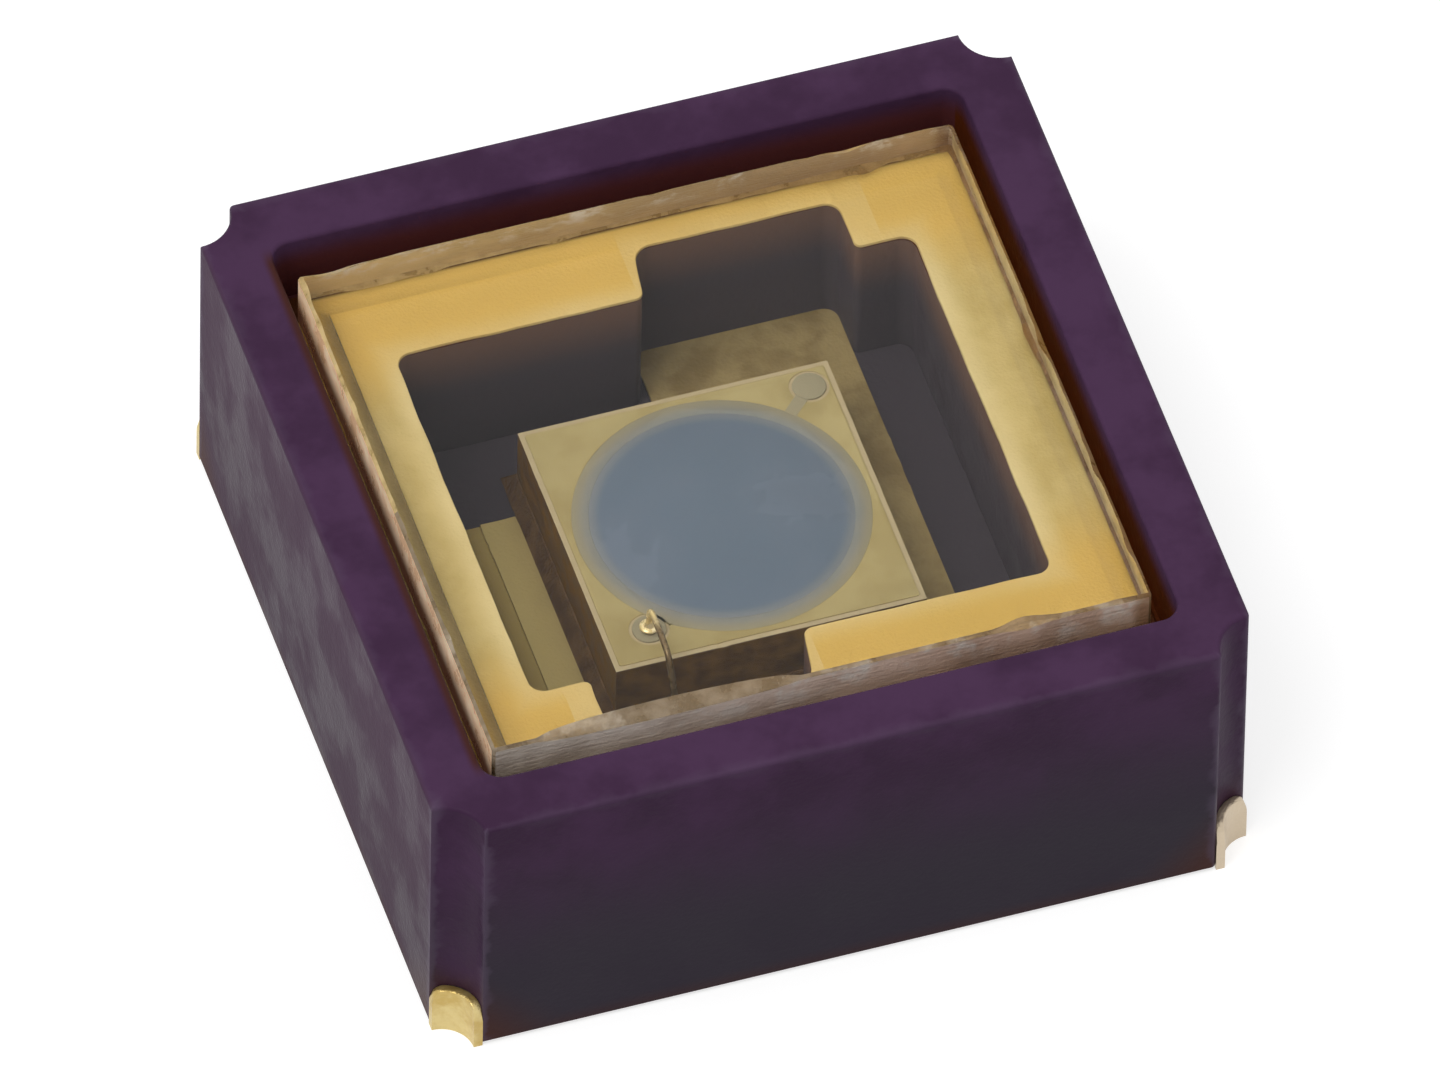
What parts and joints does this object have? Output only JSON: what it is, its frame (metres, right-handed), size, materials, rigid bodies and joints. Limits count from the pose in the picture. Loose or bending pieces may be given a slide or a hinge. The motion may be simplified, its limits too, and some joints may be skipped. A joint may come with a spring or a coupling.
{
  "type": "infrared photodetector",
  "caption": "Square surface-mount infrared photodetector: dark ceramic carrier with a sunk glass window over a photodiode chip and grooved corner terminals.",
  "frame": {"origin": "centre of the seating plane, under the four solder lands", "axes": "+Z towards the light, square to the window; +X along the front edge, whose left corner has the land with the cut corner; +Y to the back"},
  "size_m": [0.0032, 0.0032, 0.0012],
  "materials": {
    "dark_ceramic": "co-fired, satin, dark violet",
    "gold_print": "gold-plated print, satin",
    "clear_adhesive": "cured clear adhesive, faint amber",
    "window_glass": "polished faces, diced edges",
    "buried_metal": "sintered tungsten",
    "silver_epoxy": "cured silver-filled adhesive",
    "gold_film": "evaporated film",
    "semiconductor": "sawn crystal",
    "active_coating": "blue-grey antireflection coating",
    "contact_film": "evaporated film",
    "field_film": "khaki metal film",
    "gold_wire": "drawn gold",
    "gold_plating": "electroplated gold, satin"
  },
  "bodies": {
    "root": {"ceramic_body": "dark_ceramic", "shelf_metallisation": "gold_print", "window_seal": "clear_adhesive", "window_glass": "window_glass", "die_pad": "gold_print", "bond_pad": "gold_print", "anode_track": "buried_metal", "cathode_track": "buried_metal", "die_attach": "silver_epoxy", "chip_back_contact": "gold_film", "photodiode_chip": "semiconductor", "chip_active_area": "active_coating", "chip_top_contact": "contact_film", "chip_field_layer": "field_film", "bond_wire": "gold_wire", "terminal_front_left": "gold_plating", "terminal_front_right": "gold_plating", "terminal_back_right": "gold_plating", "terminal_back_left": "gold_plating"}
  },
  "joints": []
}
